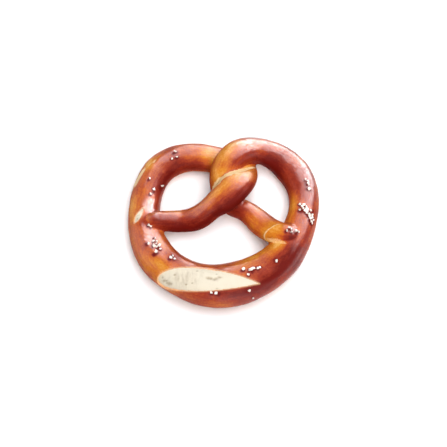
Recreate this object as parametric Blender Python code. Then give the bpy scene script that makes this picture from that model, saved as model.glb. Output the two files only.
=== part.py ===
"""Soft pretzel: one rope of dough laid as a ring, twisted and pressed down at both ends.

Metres, +Z up. The pretzel lies on its flat underside, with the thick belly towards -Y
and the twist towards +Y. The origin is under the middle of its outline, on the
surface that it rests on.
"""

from math import cos, pi, radians, sin

import bmesh
import bpy
import numpy as np

MM = 0.001

# Driving dimensions
SPAN = 150 * MM  # across the two loops
SETTLED = 1.0 * MM  # how deep the soft rope has sunk onto its flat foot

# The rope, from the tip of the left arm to the tip of the right one: x, y, z of its
# middle, then its width and its height, in 150ths of the span.
ROPE_UNIT = SPAN / 150
ROPE = (
    (-60.5, -0.6, 20.5, 10.0, 8.0),  # left tip, pressed on the ring
    (-53.0, 0.2, 19.0, 14.0, 12.5),
    (-38.0, 2.4, 12.0, 17.0, 16.0),  # left arm, sagging between ring and twist
    (-24.5, 4.0, 13.0, 19.0, 17.5),
    (-13.7, 8.2, 18.0, 20.2, 18.5),
    (-0.5, 16.5, 25.0, 23.0, 20.0),  # over the right arm
    (12.3, 28.2, 24.5, 21.5, 20.0),
    (16.8, 39.3, 16.5, 19.5, 18.0),  # the fold, where the left arm turns back
    (13.8, 49.5, 10.0, 20.0, 17.0),
    (-3.0, 55.0, 9.0, 21.5, 18.0),  # under the right arm
    (-27.0, 57.2, 10.5, 22.6, 20.0),  # top of the left loop
    (-49.3, 48.7, 10.5, 23.6, 21.0),
    (-61.5, 22.0, 10.5, 24.5, 21.5),
    (-62.0, -3.0, 11.0, 26.0, 22.0),  # left side, under the left tip
    (-53.5, -25.0, 12.5, 30.3, 25.0),
    (-33.1, -43.8, 14.0, 30.6, 27.5),
    (-6.5, -51.3, 14.5, 34.0, 29.0),  # middle of the belly
    (19.6, -46.0, 14.0, 33.6, 28.0),
    (43.7, -28.9, 12.5, 29.6, 25.0),
    (58.4, -2.0, 11.0, 25.6, 22.5),  # right side, under the right tip
    (62.6, 25.0, 10.7, 24.6, 21.5),
    (52.8, 47.2, 11.5, 24.8, 21.5),
    (32.0, 59.2, 16.0, 21.0, 19.5),  # top of the right loop
    (11.0, 54.0, 24.0, 23.0, 20.0),  # over the left arm
    (0.5, 41.0, 24.0, 22.5, 20.0),
    (0.0, 27.0, 15.5, 21.0, 18.0),
    (5.0, 18.0, 11.0, 18.5, 17.5),  # under the left arm
    (15.8, 11.8, 11.0, 17.6, 17.0),
    (31.0, -1.8, 13.0, 20.8, 17.0),
    (44.0, -10.0, 19.0, 18.0, 14.5),  # knuckle, where the right arm climbs the ring
    (58.5, -10.2, 19.5, 13.0, 10.0),  # right tip
)
SQUARENESS = 2.2  # exponent of the rope's section: 2 is an ellipse, more is boxier
SIDES = 24
RING_STEP = 4.5 * ROPE_UNIT
CAP_ANGLES = (15, 40, 65)  # of the rings that round off each tip, in degrees

# Where the crust has opened: the two ends of the opening seen from above, its greatest
# width, both in the rope's units, and how blunt the first end is, 1 being pointed.
BAKERS_CUT = ((-51.0, -48.1), (28.5, -53.6), 19.2, 0.6)
SIDE_SPLIT = ((-69.6, -2.6), (-62.4, 10.5), 3.6, 0.7)
OPENING_DEPTH = 1.6 * ROPE_UNIT
OPENING_POINTS = 36
OPENING_LOW = 14 * ROPE_UNIT  # the openings reach down the rope's side to this height
ABOVE_ALL = 60 * ROPE_UNIT

CRUST_BROWN = (0.30, 0.065, 0.018, 1.0)
CRUST_ROUGHNESS = 0.35


def smooth_path(places, at):
    """A natural cubic spline through the rows of places, read at the distances in at."""
    gaps = np.linalg.norm(np.diff(places[:, :3], axis=0), axis=1)
    stops = np.concatenate([[0.0], np.cumsum(gaps)])
    slopes = np.diff(places, axis=0) / gaps[:, None]
    count = len(places)
    system = np.eye(count)
    bending = np.zeros_like(places)
    for i in range(1, count - 1):
        system[i, i - 1 : i + 2] = gaps[i - 1], 2 * (gaps[i - 1] + gaps[i]), gaps[i]
        bending[i] = 6 * (slopes[i] - slopes[i - 1])
    bends = np.linalg.solve(system, bending)
    k = np.clip(np.searchsorted(stops, at, side="right") - 1, 0, count - 2)
    gap = gaps[k][:, None]
    after = (at - stops[k])[:, None]
    before = gap - after
    curved = (bends[k] * before**3 + bends[k + 1] * after**3) / (6 * gap)
    from_left = (places[k] / gap - bends[k] * gap / 6) * before
    from_right = (places[k + 1] / gap - bends[k + 1] * gap / 6) * after
    return curved + from_left + from_right


def ring_stops(places):
    """How far along the rope each ring is, and how much it shrinks to round off a tip."""
    length = np.linalg.norm(np.diff(places[:, :3], axis=0), axis=1).sum()
    first, last = places[0, 3] / 2, places[-1, 3] / 2
    turns = [radians(angle) for angle in CAP_ANGLES]
    opening = [(first * (1 - cos(a)), sin(a)) for a in turns]
    closing = [(length - last * (1 - cos(a)), sin(a)) for a in reversed(turns)]
    count = round((length - first - last) / RING_STEP)
    middle = [(d, 1.0) for d in np.linspace(first, length - last, count)]
    stops = np.array(opening + middle + closing)
    return stops[:, 0], stops[:, 1:]


def rope_rings(skin):
    """Rings of points round the rope, this far under its crust."""
    places = np.array(ROPE) * ROPE_UNIT
    places[:, 2] -= SETTLED
    stops, shrink = ring_stops(places)
    along = smooth_path(places, stops)
    middle = along[:, :3]
    half = (along[:, 3:] / 2 - skin) * shrink
    tangent = np.gradient(middle, stops, axis=0)
    side = np.cross(tangent, (0, 0, 1))
    upward = np.cross(side, tangent)
    side *= half[:, :1] / np.linalg.norm(side, axis=1)[:, None]
    upward *= half[:, 1:] / np.linalg.norm(upward, axis=1)[:, None]
    turn = np.linspace(0, 2 * pi, SIDES, endpoint=False)
    across = np.sign(np.cos(turn)) * abs(np.cos(turn)) ** (2 / SQUARENESS)
    over = np.sign(np.sin(turn)) * abs(np.sin(turn)) ** (2 / SQUARENESS)
    return (
        middle[:, None]
        + side[:, None] * across[None, :, None]
        + upward[:, None] * over[None, :, None]
    )


def new_object(name, shape):
    mesh = bpy.data.meshes.new(name)
    bmesh.ops.recalc_face_normals(shape, faces=shape.faces)
    shape.to_mesh(mesh)
    shape.free()
    made = bpy.data.objects.new(name, mesh)
    bpy.context.scene.collection.objects.link(made)
    return made


def as_helper(made):
    """A shape that only cuts another one is drawn as wire and isn't part of the pretzel."""
    made.hide_render = True
    made.display_type = "WIRE"
    return made


def skin_over(name, rings):
    """A closed tube over the rings."""
    shape = bmesh.new()
    loops = [[shape.verts.new(point) for point in ring] for ring in rings]
    for here, there in zip(loops, loops[1:]):
        for i in range(SIDES):
            j = (i + 1) % SIDES
            shape.faces.new((here[i], here[j], there[j], there[i]))
    shape.faces.new(loops[0])
    shape.faces.new(loops[-1])
    return new_object(name, shape)


def upright_block(name, outline, low, high):
    """The outline, points seen from above, as a block from low to high."""
    shape = bmesh.new()
    floor = shape.faces.new([shape.verts.new((x, y, low)) for x, y in outline])
    raised = bmesh.ops.extrude_face_region(shape, geom=[floor])["geom"]
    top = [v for v in raised if isinstance(v, bmesh.types.BMVert)]
    bmesh.ops.translate(shape, verts=top, vec=(0, 0, high - low))
    return new_object(name, shape)


def opening_outline(start, end, width, bluntness):
    """Points round an opening: both of its edges are the curve t^bluntness * (1 - t)."""
    start, end = np.array(start), np.array(end)
    run = end - start
    across = np.array([-run[1], run[0]]) / np.linalg.norm(run)
    widest = bluntness / (bluntness + 1)
    fullness = widest**bluntness * (1 - widest)
    points = []
    for turn in np.linspace(0, 2 * pi, OPENING_POINTS, endpoint=False):
        t = (1 - cos(turn)) / 2
        half_width = width / 2 * t**bluntness * (1 - t) / fullness
        edge = -1 if turn < pi else 1
        points.append(start + run * t + across * half_width * edge)
    return np.array(points) * ROPE_UNIT


def combine(made, other, operation):
    change = made.modifiers.new(other.name, "BOOLEAN")
    change.operation = operation
    change.object = other
    change.solver = "EXACT"
    change.use_self = True


def crust_material():
    material = bpy.data.materials.new("crust")
    material.use_nodes = True
    shader = material.node_tree.nodes["Principled BSDF"]
    shader.inputs["Base Color"].default_value = CRUST_BROWN
    shader.inputs["Roughness"].default_value = CRUST_ROUGHNESS
    return material


for old in list(bpy.data.objects):
    bpy.data.objects.remove(old)

rings = rope_rings(0.0)
outline_middle = (rings.min(axis=(0, 1)) + rings.max(axis=(0, 1))) / 2 * (1, 1, 0)
pretzel = skin_over("pretzel", rings - outline_middle)
pretzel.data.materials.append(crust_material())

# The rope crosses itself. Keeping what is above the resting surface makes it one solid
# where its arms touch it, and gives it its flat foot.
corners = [(-SPAN, -SPAN), (SPAN, -SPAN), (SPAN, SPAN), (-SPAN, SPAN)]
above_foot = as_helper(upright_block("above_foot", corners, 0.0, ABOVE_ALL))
combine(pretzel, above_foot, "INTERSECT")

# Each opening takes the crust off down to the crumb, which keeps the rope's roundness.
crumb = as_helper(skin_over("crumb", rope_rings(OPENING_DEPTH) - outline_middle))
for name, opening in (("bakers_cut", BAKERS_CUT), ("side_split", SIDE_SPLIT)):
    outline = opening_outline(*opening) - outline_middle[:2]
    lost_crust = as_helper(upright_block(name, outline, OPENING_LOW, ABOVE_ALL))
    combine(lost_crust, crumb, "DIFFERENCE")
    combine(pretzel, lost_crust, "DIFFERENCE")
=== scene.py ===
from math import cos, pi, radians, sin

import bmesh
import bpy
import numpy as np
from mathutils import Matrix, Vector, noise
from mathutils.bvhtree import BVHTree


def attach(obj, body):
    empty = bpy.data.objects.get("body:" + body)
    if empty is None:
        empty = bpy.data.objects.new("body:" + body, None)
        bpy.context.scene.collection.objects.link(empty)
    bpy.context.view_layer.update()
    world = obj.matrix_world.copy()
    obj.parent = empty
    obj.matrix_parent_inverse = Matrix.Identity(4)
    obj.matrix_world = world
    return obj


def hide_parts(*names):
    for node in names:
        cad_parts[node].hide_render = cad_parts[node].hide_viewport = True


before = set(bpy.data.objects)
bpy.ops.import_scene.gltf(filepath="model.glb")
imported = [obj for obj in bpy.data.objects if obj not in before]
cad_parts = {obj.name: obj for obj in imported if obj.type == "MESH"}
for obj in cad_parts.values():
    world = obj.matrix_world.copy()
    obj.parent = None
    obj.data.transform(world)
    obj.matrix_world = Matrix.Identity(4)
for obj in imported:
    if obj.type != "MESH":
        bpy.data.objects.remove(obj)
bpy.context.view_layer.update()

# Baked crust. One rope of wheat dough, thick in its belly and thin at its ends, is laid
# as a ring, crossed twice and pressed down on the ring at both tips. A dip in lye turns
# its skin shiny brown in the oven: darkest on top, golden where another strand shaded it.

MM = 0.001
ROPE = (  # x, y, z of the rope's middle, its width and its height, in millimetres
    (-60.5, -0.6, 20.5, 10.0, 8.0),  # left tip, pressed on the ring
    (-53.0, 0.2, 19.0, 14.0, 12.5),
    (-38.0, 2.4, 12.0, 17.0, 16.0),  # left arm, sagging between ring and twist
    (-24.5, 4.0, 13.0, 19.0, 17.5),
    (-13.7, 8.2, 18.0, 20.2, 18.5),
    (-0.5, 16.5, 25.0, 23.0, 20.0),  # over the right arm
    (12.3, 28.2, 24.5, 21.5, 20.0),
    (16.8, 39.3, 16.5, 19.5, 18.0),  # the fold, where the left arm turns back
    (13.8, 49.5, 10.0, 20.0, 17.0),
    (-3.0, 55.0, 9.0, 21.5, 18.0),  # under the right arm
    (-27.0, 57.2, 10.5, 22.6, 20.0),  # top of the left loop
    (-49.3, 48.7, 10.5, 23.6, 21.0),
    (-61.5, 22.0, 10.5, 24.5, 21.5),
    (-62.0, -3.0, 11.0, 26.0, 22.0),  # left side, under the left tip
    (-53.5, -25.0, 12.5, 30.3, 25.0),
    (-33.1, -43.8, 14.0, 30.6, 27.5),
    (-6.5, -51.3, 14.5, 34.0, 29.0),  # middle of the belly
    (19.6, -46.0, 14.0, 33.6, 28.0),
    (43.7, -28.9, 12.5, 29.6, 25.0),
    (58.4, -2.0, 11.0, 25.6, 22.5),  # right side, under the right tip
    (62.6, 25.0, 10.7, 24.6, 21.5),
    (52.8, 47.2, 11.5, 24.8, 21.5),
    (32.0, 59.2, 16.0, 21.0, 19.5),  # top of the right loop
    (11.0, 54.0, 24.0, 23.0, 20.0),  # over the left arm
    (0.5, 41.0, 24.0, 22.5, 20.0),
    (0.0, 27.0, 15.5, 21.0, 18.0),
    (5.0, 18.0, 11.0, 18.5, 17.5),  # under the left arm
    (15.8, 11.8, 11.0, 17.6, 17.0),
    (31.0, -1.8, 13.0, 20.8, 17.0),
    (44.0, -10.0, 19.0, 18.0, 14.5),  # knuckle, where the right arm climbs the ring
    (58.5, -10.2, 19.5, 13.0, 10.0),  # right tip
)
SETTLED = 1.0  # how deep the rope has sunk onto its flat foot
SQUARENESS = 2.2  # exponent of its section: 2 is an ellipse, more is boxier
SIDES = 80
RING_STEP = 1.5
FACE_SIZE = 0.78  # of the crust's mesh
STRANDS = (45, 110, 180, 300, 420, 490, 560)  # where the rope is cut up, to find where it touches itself
LUMPS = ((15.0, 0.36), (6.0, 0.13), (2.4, 0.05))  # size and height of the dough's unevenness
SHRUNK = 0.28  # how far the skin stands inside the plain rope, to leave room for its lumps

# The baker's cut and the split: start and end on the crust seen from above, greatest
# width, and how blunt the start is.
BAKERS_CUT = ((-51.0, -48.1), (27.0, -53.2), 18.6, 0.6)
SIDE_SPLIT = ((-69.6, -2.6), (-62.4, 10.5), 4.2, 0.7)
CUT_FLOOR = 1.9  # how far the crust's skin drops inside an opening
LIP = 0.4  # how far its edge curls up

# Where two strands pulled apart and the skin tore: a path seen from above, width and depth.
# Where the left loop bends, its outer skin is only stretched thin: distance along the rope,
# degrees round it, reach along and round, and how far it tore.
STRETCHED = (
    (203, 14, 6, 1.8, 0.8),
    (198, 33, 5, 3.0, 0.9),
    (193, 41, 3, 2.4, 0.9),
    (189.5, 46, 2.5, 1.8, 0.8),
    (185, 60, 3, 1.0, 0.5),
    (180.5, 67, 2.5, 1.0, 0.6),
    (84, 108, 5, 1.8, 0.5),  # and the arms' skin beside the seam between them
    (587, 22, 4, 2.4, 0.5),  # and that of the knuckle
)
TEARS = (
    (((-9, 24), (-6, 27.5), (-2.6, 30), (2, 32.4), (7.6, 35), (13.4, 37.8), (18.9, 40.8), (25, 44.6)), 2.4, 1.1),
    (((-10, 22.5), (-7, 26.3), (-3.4, 29.6), (0.5, 31.8)), 3.2, 0.9),
    (((33.5, -15.6), (36, -16.4), (40, -17.6), (44, -19), (48, -20.4)), 2.6, 0.5),
)

# Where the rope is a little thicker or thinner than its plain round.
SWELLS = (  # distance along the rope, degrees round it, reach along and round, and height
    (174, 180, 28, 9, 1.3),  # inner side of the left loop
    (130, 54, 15, 6, -0.6),  # and its outer side
    (180, 50, 14, 6, -0.4),
    (46, 0, 14, 8, 0.7),  # lower side of the left arm
    (23, 0, 11, 7, 0.6),
    (64, 0, 9, 6, 0.7),
    (50, 165, 19, 8, -0.8),  # its upper side
    (77, 98, 10, 5, -0.35),
    (458, 182, 20, 8, 0.9),  # inner side of the right loop
    (405, 184, 16, 8, -0.65),
    (274, 180, 38, 9, -0.55),  # and of the ring
    (385, 0, 14, 7, 0.7),  # outer side of the ring
    (366, 0, 14, 7, 0.7),
    (330, 0, 16, 7, 0.3),
    (302, 0, 16, 7, 0.6),
    (302, 176, 14, 8, -0.3),
    (525, 42, 10, 7, -1.0),  # right arm, before it passes under
    (556, 160, 12, 7, -0.4),
    (583, 160, 12, 6, -0.6),
    (80, 150, 8, 8, 2.9),  # upper side of the left arm, pushed up by the right arm
)

# Browning besides what falls by itself, with painted shade on lower and inner sides: distance along
# the rope and degrees round it (0 outer side, 90 top, 180 inner side), reach along and round, and how much darker.
BROWNING_AND_SHADE = (
    (14, 90, 12, 14, 0.14),  # left tip
    (230, 106, 4, 7, 0.20),  # ring under it
    (10, 78, 11, 8, 0.14),
    (14, 138, 14, 5, -0.30),
    (34, 98, 26, 7, -0.22),
    # painted shade on the left arm's lower side, in this and the next three rows
    (33, 35, 24, 11, 0.36),  # lower side of the left arm
    (24, 0, 18, 6, 0.14),
    (60, 35, 22, 9, 0.30),
    (76, 15, 16, 7, 0.26),
    (54, 104, 18, 6, -0.08),
    (66, 115, 13, 6, -0.16),  # its upper side, shaded by the right arm
    (92, 112, 14, 6, -0.34),
    (95, 55, 10, 9, -0.22),
    (139, 102, 15, 9, -0.34),  # left loop beside the crossing
    (174, 104, 26, 8, 0.04),
    # painted shade on the left loop's inner side, in this and the next row
    (165, 148, 26, 6, 0.34),  # its inner side
    (196, 150, 16, 6, 0.26),
    (196, 126, 7, 4, 0.14),
    (228, 118, 12, 7, 0.15),
    (184, 54, 7, 5, -0.40),  # outer side of the left loop
    (216, 55, 20, 7, -0.22),
    (270, 68, 9, 6, -0.26),
    (262, 26, 40, 8, -0.14),
    # dark crust under the cut, with painted shade beneath its lip, in this and the next three rows
    (334, 38, 20, 5, 0.26),  # belly, dark under the cut
    (330, 52, 30, 4, 0.30),
    (371, 52, 16, 10, 0.32),
    (356, 62, 20, 8, 0.22),
    (350, 136, 22, 7, -0.26),  # inner side of belly and ring
    (352, 14, 30, 6, 0.14),
    (370, 106, 8, 5, -0.24),
    (374, 122, 8, 4, -0.34),
    (411, 130, 12, 6, -0.34),
    (436, 98, 28, 10, 0.15),  # right loop
    # painted shade on the right loop's inner side, in this and the next row
    (467, 145, 22, 8, 0.46),
    (458, 182, 22, 7, 0.22),
    (503, 66, 12, 7, -0.46),  # golden where the right arm turns down
    (521, 84, 10, 8, -0.24),
    (500, 88, 9, 6, 0.14),
    (500, 125, 14, 8, 0.14),
    # painted shadow of the left arm on the right arm
    (546, 75, 9, 12, 0.42),
    (568, 85, 10, 9, -0.16),
    (557, 138, 16, 6, -0.16),  # right arm
    (588, 75, 8, 8, -0.20),  # its end
    (590, 98, 7, 6, -0.22),
    (587, 8, 6, 4, -0.40),
    (600, 52, 6, 6, 0.34),
    (592, 42, 8, 5, 0.06),
)

# Where the lye lay thicker and baked to a polish: along, round, reach along and round, and
# how glossy.
POLISH = (
    (8, 140, 12, 5, 0.5),  # left arm, its upper side
    (44, 140, 28, 5, 1.1),
    (42, 108, 24, 6, 0.3),
    (56, 86, 13, 3.5, 0.9),
    (30, 5, 30, 7, -0.15),  # its lower side
    (62, 8, 20, 7, -0.12),
    (86, 84, 6, 5, 0.7),  # fold
    (88, 52, 10, 6, 0.2),
    (140, 55, 22, 7, 0.38),  # left loop
    (135, 44, 12, 5, 0.3),
    (180, 44, 8, 5, 0.3),
    (175, 75, 16, 6, 0.4),
    (200, 35, 35, 7, 0.4),
    (217, 114, 7, 3.5, 2.0),
    (208, 168, 8, 6, 0.6),
    (242, 172, 9, 6, 0.6),
    (230, 108, 4, 6, -0.6),  # under the left arm's tip
    (214, 144, 9, 7, 0.8),
    (248, 98, 14, 6, 1.25),
    (271, 112, 9, 5, -0.2),
    (262, 50, 40, 8, 0.25),
    (250, 34, 20, 8, 0.3),
    (302, 140, 32, 7, 0.9),  # belly
    (300, 28, 26, 8, 0.4),
    (328, 26, 20, 7, 0.35),
    (350, 80, 26, 12, -0.08),
    (355, 14, 34, 6, 0.5),
    (368, 88, 10, 7, -0.2),
    (376, 8, 20, 6, 0.5),
    (382, 36, 20, 6, 0.5),  # right loop
    (408, 68, 18, 7, 0.45),
    (448, 46, 30, 8, 1.1),
    (440, 46, 14, 4, 0.3),
    (432, 60, 14, 3.5, 0.25),
    (398, 122, 12, 5, -0.12),
    (478, 52, 14, 7, 0.9),
    (491, 84, 8, 7, 1.0),
    (518, 92, 13, 8, 0.35),
    (557, 138, 18, 6, 1.2),  # right arm
    (587, 92, 8, 10, -0.3),
    (600, 105, 5, 6, 0.8),
)


def smooth_path(places, at):
    """A natural cubic spline through the rows of places, read at the distances in at."""
    gaps = np.linalg.norm(np.diff(places[:, :3], axis=0), axis=1)
    knots = np.concatenate([[0.0], np.cumsum(gaps)])
    slopes = np.diff(places, axis=0) / gaps[:, None]
    count = len(places)
    system = np.eye(count)
    bending = np.zeros_like(places)
    for i in range(1, count - 1):
        system[i, i - 1 : i + 2] = gaps[i - 1], 2 * (gaps[i - 1] + gaps[i]), gaps[i]
        bending[i] = 6 * (slopes[i] - slopes[i - 1])
    bends = np.linalg.solve(system, bending)
    k = np.clip(np.searchsorted(knots, at, side="right") - 1, 0, count - 2)
    gap = gaps[k][:, None]
    after = (at - knots[k])[:, None]
    before = gap - after
    curved = (bends[k] * before**3 + bends[k + 1] * after**3) / (6 * gap)
    from_left = (places[k] / gap - bends[k] * gap / 6) * before
    from_right = (places[k + 1] / gap - bends[k + 1] * gap / 6) * after
    return curved + from_left + from_right


def rolled_rope():
    """Distance of each ring along the rope, its points, and the middle of the outline."""
    places = np.array(ROPE)
    places[:, 2] -= SETTLED
    length = np.linalg.norm(np.diff(places[:, :3], axis=0), axis=1).sum()
    first, last = places[0, 3] / 2, places[-1, 3] / 2
    turns = np.radians([4, 12, 22, 33, 45, 57, 70])
    opening = first * (1 - np.cos(turns))
    closing = length - last * (1 - np.cos(turns[::-1]))
    count = round((length - first - last) / RING_STEP)
    at = np.concatenate([opening, np.linspace(first, length - last, count), closing])
    shrink = np.concatenate([np.sin(turns), np.ones(count), np.sin(turns[::-1])])
    along = smooth_path(places, at)
    middle = along[:, :3]
    half = along[:, 3:] / 2 * shrink[:, None]
    tangent = np.gradient(middle, at, axis=0)
    side = np.cross(tangent, (0, 0, 1))
    upward = np.cross(side, tangent)
    side *= half[:, :1] / np.linalg.norm(side, axis=1)[:, None]
    upward *= half[:, 1:] / np.linalg.norm(upward, axis=1)[:, None]
    turn = np.linspace(0, 2 * pi, SIDES, endpoint=False)
    across = np.sign(np.cos(turn)) * abs(np.cos(turn)) ** (2 / SQUARENESS)
    over = np.sign(np.sin(turn)) * abs(np.sin(turn)) ** (2 / SQUARENESS)
    outwards = side[:, None] * across[None, :, None] + upward[:, None] * over[None, :, None]
    reach = np.linalg.norm(outwards, axis=2)
    longer = np.zeros_like(reach)
    for spot, degrees, reach_along, reach_round, swell in SWELLS:
        off_along = (at[:, None] - spot) / reach_along
        off_round = (turn - radians(degrees) + pi) % (2 * pi) - pi
        longer += swell * np.exp(-(off_along**2) - (reach * off_round / reach_round) ** 2)
    outwards *= (1 + longer / reach)[:, :, None]
    points = middle[:, None] + outwards
    outline = (points.min(axis=(0, 1)) + points.max(axis=(0, 1))) / 2 * (1, 1, 0)
    points -= outline
    points[:, :, 2] = np.maximum(points[:, :, 2], 0)
    return at, points, outline


def new_piece(name, points, faces):
    """A smooth-shaded piece from points in millimetres."""
    mesh = bpy.data.meshes.new(name)
    mesh.from_pydata((np.asarray(points) * MM).tolist(), [], faces)
    mesh.validate()
    mesh.shade_smooth()
    piece = bpy.data.objects.new(name, mesh)
    bpy.context.scene.collection.objects.link(piece)
    return piece


def ring_faces(first, last):
    """Quads of the rope's skin from one ring to another."""
    corners = []
    for i in range(first, last):
        for j in range(SIDES):
            near, far = i * SIDES, (i + 1) * SIDES
            corners.append((near + j, far + j, far + (j + 1) % SIDES, near + (j + 1) % SIDES))
    return corners


def mesh_points(mesh):
    points = np.empty(len(mesh.vertices) * 3)
    mesh.vertices.foreach_get("co", points)
    return points.reshape(-1, 3) / MM


def mesh_normals(mesh):
    normals = np.empty(len(mesh.vertices) * 3)
    mesh.vertices.foreach_get("normal", normals)
    return normals.reshape(-1, 3)


def move_points(mesh, points):
    mesh.vertices.foreach_set("co", (points * MM).ravel())
    mesh.update()


def clear_step(value, low, high):
    """0 below low, 1 above high, a smooth rise between."""
    t = np.clip((value - low) / (high - low), 0, 1)
    return t * t * (3 - 2 * t)


def dough_noise(points, size, shift=0.0):
    """Smooth unevenness between about -1 and 1, of lumps as large as size."""
    place = points / size + shift
    return np.array([noise.noise(p) for p in place.tolist()])


def evened(points, edges, share, rounds):
    """Relax the mesh: each point moves towards the middle of its neighbours by its share."""
    count = len(points)
    neighbours = np.bincount(edges.ravel(), minlength=count)[:, None]
    for _ in range(rounds):
        total = np.empty_like(points)
        for axis in range(3):
            total[:, axis] = np.bincount(edges[:, 0], points[edges[:, 1], axis], count)
            total[:, axis] += np.bincount(edges[:, 1], points[edges[:, 0], axis], count)
        points = points + (total / neighbours - points) * share
    return points


def distance_in_plan(points, path):
    """Distance of each point, seen from above, to a line of straight stretches."""
    nearest = np.full(len(points), 1e9)
    spot = np.zeros((len(points), 2))
    for start, end in zip(path[:-1], path[1:]):
        run = end - start
        t = np.clip(((points[:, :2] - start) @ run) / (run @ run), 0, 1)
        foot = start + t[:, None] * run
        gap = np.linalg.norm(points[:, :2] - foot, axis=1)
        closer = gap < nearest
        nearest[closer] = gap[closer]
        spot[closer] = foot[closer]
    return nearest, spot


def opening_edge(cut, t, v):
    """Point of an opening: t from 0 at its start to 1 at its end, v from -1 to 1 across."""
    start, end, width, bluntness = np.array(cut[0]), np.array(cut[1]), cut[2], cut[3]
    fullest = bluntness / (bluntness + 1)
    half = width / 2 * t**bluntness * (1 - t) / (fullest**bluntness * (1 - fullest))
    run = end - start
    across = np.array((-run[1], run[0])) / np.linalg.norm(run)
    return start + t[..., None] * run + (v * half)[..., None] * across - outline_middle[:2]


def opening_outline(cut):
    """The closed outline of an opening, seen from above."""
    turn = np.linspace(0, 2 * pi, 160)
    return opening_edge(cut, (1 - np.cos(turn)) / 2, np.where(turn <= pi, 1.0, -1.0))


def inside_outline(points, outline):
    """Whether each point, seen from above, lies inside the closed outline."""
    inside = np.zeros(len(points), bool)
    x, y = points[:, 0], points[:, 1]
    for (x0, y0), (x1, y1) in zip(outline[:-1], outline[1:]):
        crosses = (y0 > y) != (y1 > y)
        if crosses.any():
            inside ^= crosses & (x < x0 + (y - y0) * (x1 - x0) / ((y1 - y0) or 1e-12))
    return inside


stops, rings, outline_middle = rolled_rope()
skin = rings.reshape(-1, 3)
last_ring = len(rings) - 1
tips = [tuple(range(SIDES)), tuple(range(last_ring * SIDES, (last_ring + 1) * SIDES))[::-1]]
crust = new_piece("baked_crust", skin, ring_faces(0, last_ring) + tips)

# The strands grow into one another as they bake, so one skin is drawn over them all.
grown = crust.modifiers.new("grown_together", "REMESH")
grown.mode = "VOXEL"
grown.voxel_size = FACE_SIZE * MM
depsgraph = bpy.context.evaluated_depsgraph_get()
crust_mesh = bpy.data.meshes.new_from_object(crust.evaluated_get(depsgraph))
crust.modifiers.clear()
crust.data = crust_mesh
facets = bmesh.new()
facets.from_mesh(crust_mesh)
bmesh.ops.triangulate(facets, faces=facets.faces)
facets.to_mesh(crust_mesh)
facets.free()
edges = np.empty(len(crust_mesh.edges) * 2, np.int32)
crust_mesh.edges.foreach_get("vertices", edges)
edges = edges.reshape(-1, 2)
points = mesh_points(crust_mesh)

# Where each point lies on the rope.
bare_rope = BVHTree.FromPolygons(skin.tolist(), ring_faces(0, last_ring))
found = [bare_rope.find_nearest(p) for p in points.tolist()]
spot = np.array([hit[0] for hit in found])
ring, seam = np.divmod(np.array([hit[2] for hit in found]), SIDES)
corner = rings[ring, seam]
ahead = rings[ring + 1, seam] - corner
beside = rings[ring, (seam + 1) % SIDES] - corner
part_ahead = np.clip(((spot - corner) * ahead).sum(1) / np.maximum((ahead**2).sum(1), 1e-9), 0, 1)
part_beside = np.clip(((spot - corner) * beside).sum(1) / np.maximum((beside**2).sum(1), 1e-9), 0, 1)
along = stops[ring] + part_ahead * (stops[ring + 1] - stops[ring])
around = (seam + part_beside) / SIDES * 360
radius = np.linalg.norm(spot - rings[ring].mean(axis=1), axis=1)



def patches(spots):
    """The sum of soft patches, each at its place on the rope with its reach and amount."""
    total = np.zeros(len(along))
    for at, degrees, reach_along, reach_round, amount in spots:
        off_along = (along - at) / reach_along
        off_round = radius * np.radians((around - degrees + 180) % 360 - 180) / reach_round
        total += amount * np.exp(-(off_along**2) - off_round**2)
    return total


# How near another strand lies.
strand = np.searchsorted(STRANDS, along)
apart = np.full(len(points), 9.0)
bounds = np.searchsorted(stops, (0,) + STRANDS + (stops[-1],))
for k in range(len(STRANDS) + 1):
    other = BVHTree.FromPolygons(skin.tolist(), ring_faces(bounds[k], min(bounds[k + 1], last_ring)))
    low = rings[bounds[k] : bounds[k + 1]].min(axis=(0, 1)) - 9
    high = rings[bounds[k] : bounds[k + 1]].max(axis=(0, 1)) + 9
    near = ((points > low) & (points < high)).all(axis=1) & (abs(strand - k) > 1)
    for index in np.flatnonzero(near):
        hit = other.find_nearest(points[index].tolist(), 9.0)
        if hit[3] is not None:
            apart[index] = min(apart[index], hit[3])
contact = 1 - clear_step(apart, 0.0, 6.0)

# The tips sink into the ring, and every seam is a little rounded.
length = stops[-1]
tip_spots = rings[0].mean(axis=0), rings[-1].mean(axis=0)
melt = np.zeros(len(points))
for tip, reach in zip(tip_spots, (11.0, 9.0)):
    melt = np.maximum(melt, 1 - clear_step(np.linalg.norm(points - tip, axis=1), reach * 0.6, reach * 1.5))
points = evened(points, edges, np.full((len(points), 1), 0.5), 2)
points = evened(points, edges, (melt * contact * 0.5)[:, None], 26)
move_points(crust_mesh, points)
normals = mesh_normals(crust_mesh)

# Lumps and dimples of dough that rose unevenly, and wrinkles across the pressed tips.
height = np.full(len(points), -SHRUNK)
for size, tall in LUMPS:
    height += tall * dough_noise(points, size, size)
rope_place = np.stack([along, radius * np.cos(np.radians(around)), radius * np.sin(np.radians(around))], 1)
wrinkles = dough_noise(rope_place * (1, 0.25, 0.25), 1.6, 5.0)
height += 0.16 * wrinkles * np.maximum(1 - clear_step(along, 8, 20), clear_step(along, length - 14, length - 6))

# The collar round the right arm, where its skin slid back over the knuckle.
collar_at = 583.2 + 6.5 * ((around - 35) / 80) ** 2
past_collar = along - collar_at
on_arm = clear_step(along, 570, 576) * (1 - clear_step(around, 112, 135)) * (1 - clear_step(around, 300, 330))
height += on_arm * 0.75 * np.exp(-((past_collar / 1.0) ** 2))
height += on_arm * 0.35 * clear_step(past_collar, 0, 2) * (1 - clear_step(past_collar, 6, 14))

# The left arm's lower side swells before the twist and is pinched in it.
lower_side = np.cos(np.radians(around - 10)).clip(0) ** 2
height += lower_side * (0.5 * np.exp(-(((along - 38) / 7) ** 2)) - 2.0 * np.exp(-(((along - 57) / 6.5) ** 2)))

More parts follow.
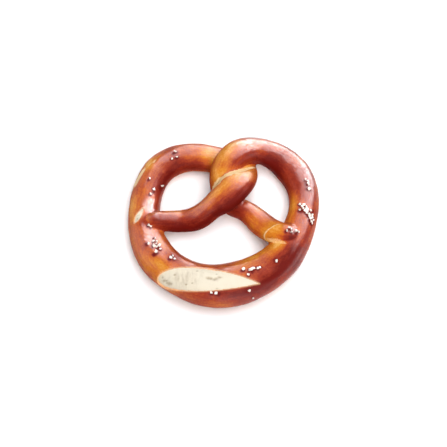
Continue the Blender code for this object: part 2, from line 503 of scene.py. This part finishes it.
# Tears along the seams.
facing_up = normals[:, 2] > 0.05
torn = 0.72 * on_arm * np.exp(-(((past_collar + 0.2) / 0.7) ** 2))
for path, width, deep in TEARS:
    path = np.array(path) - outline_middle[:2]
    gap, spot = distance_in_plan(points, path)
    from_middle = np.linalg.norm(spot - path[[0, -1]].mean(axis=0), axis=1)
    taper = 1 - 0.75 * (from_middle / np.linalg.norm(path[-1] - path[0]) * 2) ** 2
    ragged = width * taper.clip(0.1) * (1 + 0.3 * dough_noise(points, 2.2, 9.0))
    whole = (along > 110) * clear_step(points[:, 0], -4, 1) * (points[:, 1] > 0)  # the strand behind
    level = clear_step(normals[:, 2], 0.1, 0.5)
    torn = np.maximum(torn, deep * level * (1 - whole) * (1 - clear_step(gap, ragged * 0.3, ragged * 1.3)))
torn = np.maximum(torn, patches(STRETCHED))
height -= 0.25 * torn * (1 + dough_noise(points, 1.4, 3.0))

# The openings: the skin's edge curls up round them and drops inside.
opened = np.zeros(len(points))
rim = np.zeros(len(points))
for cut in (BAKERS_CUT, SIDE_SPLIT):
    outline = opening_outline(cut)
    low, high = outline.min(axis=0) - 6, outline.max(axis=0) + 6
    box = ((points[:, :2] > low) & (points[:, :2] < high)).all(axis=1) & (points[:, 2] > 8)
    chosen = np.flatnonzero(box & facing_up)
    gap, edge_spot = distance_in_plan(points[chosen], outline)
    gap *= np.where(inside_outline(points[chosen], outline), -1, 1)
    side = np.zeros(len(points))
    side[chosen] = gap
    side[chosen[abs(gap) < FACE_SIZE * 0.35]] = 0
    crossing = edges[side[edges[:, 0]] * side[edges[:, 1]] < 0]
    crossing = crossing[(abs(side[crossing]) < 2 * FACE_SIZE).all(axis=1)]
    nearer = np.where(abs(side[crossing[:, 0]]) < abs(side[crossing[:, 1]]), crossing[:, 0], crossing[:, 1])
    side[nearer] = 0
    on_edge = side[chosen] == 0
    points[chosen[on_edge], :2] = edge_spot[on_edge]
    gap[on_edge] = 0
    inside = gap < 0
    opened[chosen[inside]] = 1
    height[chosen] += LIP * np.exp(-((gap / 1.6) ** 2)) * ~inside
    height[chosen[inside]] = -CUT_FLOOR
    rim[chosen] = np.maximum(rim[chosen], np.exp(-(((gap + 0.3) / 0.6) ** 2)))

points += normals * height[:, None]
points[:, 2] = np.maximum(points[:, 2], 0)
move_points(crust_mesh, points)

# How brown each place is, with painted shade and painted light laid in: 0 pale dough, 1 nearly black.
bake = 0.57 + 0.16 * dough_noise(points, 19.0, 2.0) + 0.10 * dough_noise(points, 8.0, 7.0)
bake -= 0.08 * contact
# Painted shade: a dark line in the creases where two strands meet.
bake += 0.22 * (1 - clear_step(apart, 0.2, 1.3)) * (1 - torn) * (1 - melt)
bake += patches(BROWNING_AND_SHADE)
foot = 1 - clear_step(points[:, 2], 0.3, 3.5)
# Painted light: paler low down, standing in for light thrown up from the white floor.
bake -= 0.22 * (1 - clear_step(points[:, 2], 2.0, 11.0))


def paint(mesh, name, values):
    """Keep a value, or a vector in metres, at each point for the material to read."""
    kind = "FLOAT_VECTOR" if values.ndim > 1 else "FLOAT"
    layer = mesh.attributes.new(name, kind, "POINT")
    layer.data.foreach_set("vector" if values.ndim > 1 else "value", values.ravel())


paint(crust_mesh, "bake", bake)
paint(crust_mesh, "contact", contact)
paint(crust_mesh, "torn", torn)
paint(crust_mesh, "rim", rim)
paint(crust_mesh, "foot", foot)
paint(crust_mesh, "polish", np.clip(0.11 + patches(POLISH), 0, 2))
paint(crust_mesh, "rope_place", rope_place * MM)


class Shade:
    """A value in a material. Arithmetic on it adds the nodes that work it out."""

    def __init__(self, tree, socket=None):
        self.tree = tree
        self.socket = socket

    def node(self, kind, settings=None, sockets=None, out=0):
        """Add a node of this kind: its settings first, then its sockets' values or links."""
        made = self.tree.nodes.new("ShaderNode" + kind)
        for name, value in (settings or {}).items():
            if name == "stops":
                ramp = made.color_ramp.elements
                while len(ramp) < len(value):
                    ramp.new(0.5)
                for stop, (place, colour) in zip(ramp, value):
                    stop.position = place
                    stop.color = (*colour, 1)
            else:
                setattr(made, name, value)
        for name, value in (sockets or {}).items():
            if isinstance(value, Shade):
                self.tree.links.new(value.socket, made.inputs[name])
            else:
                made.inputs[name].default_value = value
        return Shade(self.tree, made.outputs[out] if made.outputs else None)

    def math(self, operation, first, second=0.0):
        return self.node("Math", {"operation": operation}, {0: first, 1: second})

    def __add__(self, other):
        return self.math("ADD", self, other)

    def __sub__(self, other):
        return self.math("SUBTRACT", self, other)

    def __rsub__(self, other):
        return self.math("SUBTRACT", other, self)

    def __mul__(self, other):
        return self.math("MULTIPLY", self, other)

    __radd__ = __add__
    __rmul__ = __mul__

    def rising(self, low, high):
        """0 below low, 1 above high, a smooth rise between."""
        settings = {"interpolation_type": "SMOOTHSTEP"}
        return self.node("MapRange", settings, {"Value": self, "From Min": low, "From Max": high})

    def between(self, low_colour, high_colour):
        """The colour this far from one colour to another."""
        return self.node("Mix", {"data_type": "RGBA"}, {0: self, 6: low_colour, 7: high_colour}, out=2)

    def stretched(self, by):
        """A place, with each of its directions scaled."""
        return self.node("VectorMath", {"operation": "MULTIPLY"}, {0: self, 1: by})

    def painted(self, name, out=2):
        """What is kept at the mesh's points under this name."""
        return self.node("Attribute", {"attribute_name": name}, out=out)

    def speckle(self, place, size, detail=2.0, roughness=0.5):
        """Noise from 0 to 1 with spots of this size in millimetres."""
        sockets = {"Vector": place, "Scale": 1 / (size * MM), "Detail": detail, "Roughness": roughness}
        return self.node("TexNoise", {}, sockets)


def new_material(name):
    """A material without nodes, and a Shade to build them with."""
    material = bpy.data.materials.new(name)
    material.use_nodes = True
    material.node_tree.nodes.clear()
    return material, Shade(material.node_tree)


PALE_SKIN = (0.72, 0.38, 0.09)
GOLDEN = (0.60, 0.20, 0.015)
ORANGE_BROWN = (0.47, 0.088, 0.011)
MAHOGANY = (0.275, 0.027, 0.009)
NEARLY_BLACK = (0.13, 0.006, 0.003)
TORN_DOUGH = (0.87, 0.64, 0.34, 1)
PALE_RIM = (0.84, 0.52, 0.28, 1)
PALE_FOOT = (0.42, 0.15, 0.035, 1)

crust_material, shade = new_material("lye_crust")
place = shade.painted("rope_place", out=1)
solid_place = shade.node("TexCoord", out=3)
mottling = shade.speckle(solid_place, 7.0, 4.0, 0.6)
streaks = shade.speckle(place.stretched((0.2, 1, 1)), 1.8, 3.0, 0.65)
freckles = shade.speckle(solid_place, 1.4, 2.0)
# The painted shadows beside the salt grains darken the skin here.
bake_here = shade.painted("bake") + shade.painted("under_salt") * 1.1 + (mottling - 0.5) * 0.30 + (streaks - 0.5) * 0.42 + (freckles - 0.5) * 0.26
browned = shade.node(
    "ValToRGB",
    {
        "stops": (
            (0.06, PALE_SKIN),
            (0.26, GOLDEN),
            (0.46, ORANGE_BROWN),
            (0.68, MAHOGANY),
            (0.96, NEARLY_BLACK),
        )
    },
    {"Fac": bake_here},
)
foot_here = shade.painted("foot")
colour = (foot_here * 0.7).between(browned, PALE_FOOT)
colour = (shade.painted("rim") * 0.75).between(colour, PALE_RIM)
torn_here = (shade.painted("torn") + (freckles - 0.5) * 0.6 + (streaks - 0.5) * 0.4).rising(0.25, 0.75)
colour = (torn_here * 0.9).between(colour, TORN_DOUGH)

polish = shade.painted("polish") * (1 - shade.painted("under_salt").rising(0.1, 0.6))
uneven = shade.speckle(solid_place, 4.5, 3.0, 0.6)
crackle = shade.node(
    "TexVoronoi",
    {"feature": "DISTANCE_TO_EDGE"},
    {"Vector": solid_place, "Scale": 1 / (4.2 * MM)},
)
cracked = (1 - crackle.rising(0.0, 0.07)) * uneven.rising(0.5, 0.7)
pebbled = shade.speckle(solid_place, 0.9, 3.0, 0.6)
relief = pebbled * 0.5 + streaks * 0.5 - cracked * 0.12
bumped = shade.node("Bump", {}, {"Strength": 0.8, "Distance": 0.16 * MM, "Height": relief})
gloss = 0.62 + (freckles - 0.5) * 0.2 + (uneven - 0.5) * 0.3 - polish * 0.25
gloss = gloss + torn_here * 0.3 + foot_here * 0.3
surface = shade.node(
    "BsdfPrincipled",
    {},
    {
        "Base Color": colour,
        "Roughness": gloss,
        "Coat Weight": polish * (0.6 + (uneven - 0.5) * 0.8 + (freckles - 0.5) * 1.6),
        "Coat Roughness": 0.2,
        "Specular IOR Level": 0.02,
        "Normal": bumped,
    },
)
shade.node("OutputMaterial", {}, {"Surface": surface})
crust_mesh.materials.clear()
crust_mesh.materials.append(crust_material)
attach(crust, "root")
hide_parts("pretzel")

# Crumb in the baker's cut and in the side split. The slash opens in the oven and the soft
# white inside of the dough swells up in it, drawn out into strands across the opening,
# with small pores. It has no skin of its own, so it stays pale and matt.

CRUMB_COLUMNS = 150
CRUMB_ROWS = 44
CRUMB_SUNK = 0.95  # below the crust at its edge
CRUMB_CROWN = 0.75  # how far its middle rises above that
CRUMB_UNDER = 3.0  # thickness of the slab
PORES = (  # place along and across the cut, spread, largest size and number
    (0.53, 0.12, 0.015, 1.5, 5),
    (0.61, 0.28, 0.01, 1.4, 2),
    (0.07, -0.35, 0.012, 1.3, 3),
    (0.13, -0.60, 0.012, 1.4, 3),
    (0.40, 0.00, 0.25, 0.6, 10),
)

def crumb_slab(name, cut, columns, rows, pores, seed):
    """A slab of crumb that fills an opening, domed, drawn out across it, and pored."""
    draw = np.random.default_rng(seed)
    t = (1 - np.cos(np.linspace(0.02, pi - 0.02, columns))) / 2
    v = np.linspace(-1, 1, rows)
    spread = 1 + 0.8 / (cut[2] / 2)
    flat = opening_edge(cut, *np.meshgrid(t, v * spread, indexing="ij"))
    top = np.zeros((columns, rows, 3))
    out = np.zeros((columns, rows, 3))
    past_flank = np.zeros((columns, rows), bool)
    for i in range(columns):
        for j in range(rows):
            hit = bare_rope.ray_cast((*flat[i, j], 60), (0, 0, -1))
            if hit[0] is None:
                hit = bare_rope.find_nearest((*flat[i, j], 12))
                past_flank[i, j] = True
            top[i, j] = hit[0]
            out[i, j] = hit[1]
    flat_top = top.reshape(-1, 3)
    dome = np.sqrt(np.clip(1 - v**2, 0, 1))[None, :] * np.sqrt(np.sin(pi * t))[:, None]
    run = np.array(cut[1]) - np.array(cut[0])
    run = run / np.linalg.norm(run)
    lengthwise = flat_top[:, :2] @ run
    crosswise = flat_top[:, :2] @ np.array((-run[1], run[0]))
    strand_place = np.stack([lengthwise, crosswise * 0.2, crosswise * 0], 1)
    strands = dough_noise(strand_place, 1.3, seed) * 0.20 + dough_noise(strand_place, 3.4, seed + 4) * 0.28
    soft = dough_noise(flat_top, 5.0, seed + 8) * 0.25
    lift = (-CRUMB_SUNK + CRUMB_CROWN * dome).ravel() + (strands + soft) * (0.25 + 0.75 * dome.ravel())
    hollow = np.zeros(len(flat_top))
    for t_pore, v_pore, spread_pore, largest, how_many in pores:
        for _ in range(how_many):
            at = t_pore + draw.normal(0, spread_pore), v_pore + draw.normal(0, spread_pore * 2)
            middle = opening_edge(cut, np.clip(at[0], 0.05, 0.93), np.clip(at[1], -0.85, 0.85))
            size = draw.uniform(0.4, 1.0) * largest
            off = flat_top[:, :2] - middle
            far = np.hypot(off @ run * 0.6, off @ np.array((-run[1], run[0]))) / size
            hollow = np.maximum(hollow, np.exp(-(far**2)))
    lift -= 0.8 * hollow * dome.ravel()
    lift[past_flank.ravel()] = -CRUMB_UNDER * 0.9
    flat_out = out.reshape(-1, 3)
    upper = flat_top + flat_out * lift[:, None]
    lower = flat_top - flat_out * CRUMB_UNDER
    count = columns * rows
    faces = []
    for i in range(columns - 1):
        for j in range(rows - 1):
            a, b, c, d = i * rows + j, (i + 1) * rows + j, (i + 1) * rows + j + 1, i * rows + j + 1
            faces += [(a, b, c, d), (a + count, d + count, c + count, b + count)]
    border = [i * rows for i in range(columns)]
    border += [(columns - 1) * rows + j for j in range(1, rows)]
    border += [i * rows + rows - 1 for i in range(columns - 2, -1, -1)]
    border += [j for j in range(rows - 2, 0, -1)]
    for here, after in zip(border, border[1:] + border[:1]):
        faces.append((here, here + count, after + count, after))
    slab = new_piece(name, np.concatenate([upper, lower]), faces)
    paint(slab.data, "hollow", np.concatenate([hollow, hollow]))
    paint(slab.data, "strand_place", np.concatenate([strand_place, strand_place]) * MM)
    paint(slab.data, "edge", np.concatenate([1 - dome.ravel()] * 2))
    drawn = np.exp(-(((t - 0.27) / 0.15) ** 2))[:, None] * np.exp(-((v / 0.75) ** 2))[None, :]
    paint(slab.data, "drawn", np.concatenate([drawn.ravel()] * 2))
    return slab


CRUMB_CREAM = (0.67, 0.60, 0.475, 1)
CRUMB_SHADE = (0.40, 0.32, 0.22, 1)
CRUMB_EDGE = (0.72, 0.56, 0.34, 1)

crumb_material, shade = new_material("open_crumb")
solid_place = shade.node("TexCoord", out=3)
fibres = shade.speckle(shade.painted("strand_place", out=1), 0.9, 3.0, 0.6)
patchy = shade.speckle(solid_place, 3.0, 3.0)
drawn_out = shade.painted("drawn")
swathes = shade.speckle(shade.painted("strand_place", out=1), 3.4, 2.0)
# The pores are painted darker, as shade inside them; fibres, patches and drawn strands are the crumb's own tone.
darker = shade.painted("hollow") * 0.8 + (fibres - 0.5) * (0.35 + drawn_out * 0.4) + (patchy - 0.5) * 0.5
darker = (darker + drawn_out * (0.42 + (swathes - 0.5) * 1.6)).rising(0.0, 0.95)
colour = darker.between(CRUMB_CREAM, CRUMB_SHADE)
colour = (shade.painted("edge").rising(0.55, 1.0) * 0.6).between(colour, CRUMB_EDGE)
pitted = shade.speckle(solid_place, 0.6, 3.0, 0.65)
bumped = shade.node("Bump", {}, {"Strength": 0.7, "Distance": 0.2 * MM, "Height": fibres * 0.7 + pitted * 0.5})
surface = shade.node(
    "BsdfPrincipled",
    {},
    {"Base Color": colour, "Roughness": 0.85, "Normal": bumped, "Specular IOR Level": 0.3},
)
shade.node("OutputMaterial", {}, {"Surface": surface})

crumb = crumb_slab("crumb_in_the_cut", BAKERS_CUT, CRUMB_COLUMNS, CRUMB_ROWS, PORES, 3)
split_crumb = crumb_slab("crumb_in_the_split", SIDE_SPLIT, 36, 14, ((0.4, 0.0, 0.2, 0.4, 6),), 11)
for slab in (crumb, split_crumb):
    slab.data.materials.append(crumb_material)
    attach(slab, "root")

# Coarse salt. Crushed, unevenly broken crystals, strewn on the wet dough in a few pinches
# before baking, so that they stick where they fell and sit a little sunk in the skin.

DRIFTS = (  # from one place to another (along, degrees round), crystals and spread
    (165, 78, 165, 78, 1, 0.1),  # left loop
    (169, 98, 169, 98, 1, 0.1),
    (165.2, 101, 165.2, 101, 1, 0.1),
    (195.6, 92, 195.6, 92, 1, 0.1),
    (196.8, 150, 196.8, 150, 1, 0.1),
    (203.5, 119, 203.5, 119, 1, 0.1),
    (207.5, 107, 207.5, 107, 1, 0.1),
    (236, 104, 238, 112, 2, 0.3),
    (249, 98, 260, 100, 11, 1.6),
    (271, 120, 275.6, 105, 3, 1.0),
    (310, 57, 310, 57, 1, 0.1),  # belly
    (313, 58, 313, 58, 1, 0.1),
    (334, 51, 334, 51, 1, 0.1),
    (334.3, 17, 334.3, 17, 1, 0.1),
    (335, 110, 335, 110, 1, 0.1),
    (338.4, 98, 341.5, 101, 3, 0.4),
    (336, 90, 336, 90, 1, 0.1),
    (345.2, 97, 347.4, 94, 2, 0.1),
    (360, 83, 360, 83, 1, 0.1),
    (413.5, 104, 412, 98, 2, 0.5),  # right loop
    (412, 92, 408, 72, 14, 2.0),
    (407, 66, 402, 40, 9, 1.0),
    (436, 80, 426, 68, 5, 0.7),
    (597, 108, 603, 80, 6, 1.8),  # end of the right arm
)
CRYSTAL = (1.7, 2.8)  # smallest and largest

crust_bvh = BVHTree.FromPolygons(points.tolist(), [tuple(f.vertices) for f in crust_mesh.polygons])
draw = np.random.default_rng(21)


def on_the_crust(distance, degrees):
    """The point of the baked crust at a place on the rope, and the way out of it."""
    k = np.searchsorted(stops, distance) - 1
    j = round(degrees / 360 * SIDES) % SIDES
    inner = Vector(rings[k].mean(axis=0))
    outer = Vector(rings[k, j])
    way = (outer - inner).normalized()
    hit = crust_bvh.ray_cast(outer + way * 4, -way)
    return hit[0], hit[1]


salt_points, salt_faces, strewn = [], [], []
under_salt = np.zeros(len(points))
for at, degrees, last_at, last_degrees, crystals, spread in DRIFTS:
    for k in range(crystals):
        size = draw.uniform(*CRYSTAL)
        for attempt in range(14):
            share = draw.uniform(0, 1) if crystals > 1 else 0.0
            here = at + (last_at - at) * share + draw.normal(0, spread * 0.6)
            turned = degrees + (last_degrees - degrees) * share + draw.normal(0, spread * 0.6) / 11 * 57.3
            centre, out = on_the_crust(here, turned)
            if all((centre - other).length > 0.42 * (size + wide) for other, wide in strewn):
                break
        strewn.append((centre, size))
        # Painted shadow: two dark spots beside each grain, towards its front left.
        for _ in range(2):
            shadow_spot = np.array(centre) + ((-0.25, -0.45, 0) + draw.normal(0, 0.3, 3)) * size
            under_salt = np.maximum(under_salt, np.exp(-(((points - shadow_spot) ** 2).sum(axis=1) / (0.5 * size) ** 2)))
        shape = draw.uniform(-1, 1, (16, 3))
        shape /= np.maximum(np.abs(shape).max(axis=1, keepdims=True), 0.35)
        shape *= draw.uniform(0.75, 1.0, (16, 1))
        lying = out.to_track_quat("Z", "Y").to_matrix()
        lying = np.array(lying) @ np.array(Vector((0, 0, 1)).rotation_difference(
            Vector(draw.normal(0, 0.25, 3) + (0, 0, 1))).to_matrix())
        spin = draw.uniform(0, pi)
        flat_turn = np.array(((cos(spin), -sin(spin), 0), (sin(spin), cos(spin), 0), (0, 0, 1)))
        shape = shape * (size / 2) * (1, draw.uniform(0.7, 1.0), draw.uniform(0.55, 0.85))
        shape = shape @ (lying @ flat_turn).T + np.array(centre + out * size * 0.08)
        crystal = bmesh.new()
        for p in shape:
            crystal.verts.new(p)
        bmesh.ops.convex_hull(crystal, input=crystal.verts)
        for loose in [w for w in crystal.verts if not w.link_faces]:
            crystal.verts.remove(loose)
        crystal.verts.index_update()
        base = len(salt_points)
        salt_points += [tuple(w.co) for w in crystal.verts]
        salt_faces += [tuple(base + w.index for w in f.verts) for f in crystal.faces]
        crystal.free()

# Painted shadows of the grains: nearly black spots beside each one, mostly to its front left.
paint(crust_mesh, "under_salt", under_salt)
salt = new_piece("coarse_salt", salt_points, salt_faces)
salt.data.shade_flat()
salt_material, shade = new_material("rock_salt")
cloudy = shade.speckle(shade.node("TexCoord", out=3), 1.1, 2.0)
surface = shade.node(
    "BsdfPrincipled",
    {},
    {
        "Base Color": cloudy.between((0.90, 0.86, 0.80, 1), (0.76, 0.66, 0.56, 1)),
        "Roughness": 0.22 + cloudy * 0.25,
        "Specular IOR Level": 0.6,
    },
)
shade.node("OutputMaterial", {}, {"Surface": surface})
salt.data.materials.append(salt_material)
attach(salt, "root")

# Floor, light and camera. A white sweep under soft boxes: a large one behind and to the
# right, a smaller fill in front, and an even white surround.

floor = new_piece("floor", ((-1500, -1500, 0), (1500, -1500, 0), (1500, 1500, 0), (-1500, 1500, 0)), [(0, 1, 2, 3)])
floor_material, shade = new_material("white_sweep")
surface = shade.node("BsdfPrincipled", {}, {"Base Color": (0.90, 0.90, 0.91, 1), "Roughness": 0.7})
shade.node("OutputMaterial", {}, {"Surface": surface})
floor.data.materials.append(floor_material)

LOOKED_AT = Vector((-0.0003, -0.0011, 0.013))
CAMERA_AWAY = 0.9685
CAMERA_UP = radians(70)

camera = bpy.data.objects.new("camera", bpy.data.cameras.new("camera"))
camera.data.lens = 100
camera.data.sensor_width = 36
camera.location = LOOKED_AT + CAMERA_AWAY * Vector((0, -cos(CAMERA_UP), sin(CAMERA_UP)))
camera.rotation_euler = (pi / 2 - CAMERA_UP, 0, 0)
bpy.context.scene.collection.objects.link(camera)
bpy.context.scene.camera = camera


def soft_box(name, azimuth, elevation, away, size, power, diffuse, mirrored):
    """A square soft box that looks at the floor's middle and lights it, its gloss, or both."""
    lamp = bpy.data.lights.new(name, "AREA")
    lamp.shape = "SQUARE"
    lamp.size = size
    lamp.energy = power
    box = bpy.data.objects.new(name, lamp)
    azimuth, elevation = radians(azimuth), radians(elevation)
    way = Vector((cos(elevation) * sin(azimuth), cos(elevation) * cos(azimuth), sin(elevation)))
    box.location = way * away
    box.rotation_euler = way.to_track_quat("Z", "Y").to_euler()
    box.visible_diffuse = diffuse
    box.visible_glossy = mirrored
    bpy.context.scene.collection.objects.link(box)


soft_box("window", 26, 36, 1.1, 1.65, 150.0, diffuse=False, mirrored=True)
soft_box("reflector", 160, 14, 1.3, 1.4, 16.0, diffuse=False, mirrored=True)
soft_box("left", 285, 25, 1.3, 1.4, 20.0, diffuse=False, mirrored=True)
soft_box("right", 112, 8, 1.3, 0.8, 9.0, diffuse=False, mirrored=True)
soft_box("sky", 70, 80, 1.3, 1.1, 19.5, diffuse=True, mirrored=False)
soft_box("front", 170, 50, 1.3, 1.0, 10.5, diffuse=True, mirrored=False)

world = bpy.data.worlds.new("white_surround")
world.use_nodes = True
world.node_tree.nodes["Background"].inputs["Color"].default_value = (0.96, 0.98, 1.0, 1)
world.node_tree.nodes["Background"].inputs["Strength"].default_value = 0.8
bpy.context.scene.world = world
world.cycles_visibility.diffuse = False
bpy.context.scene.view_settings.view_transform = "Standard"
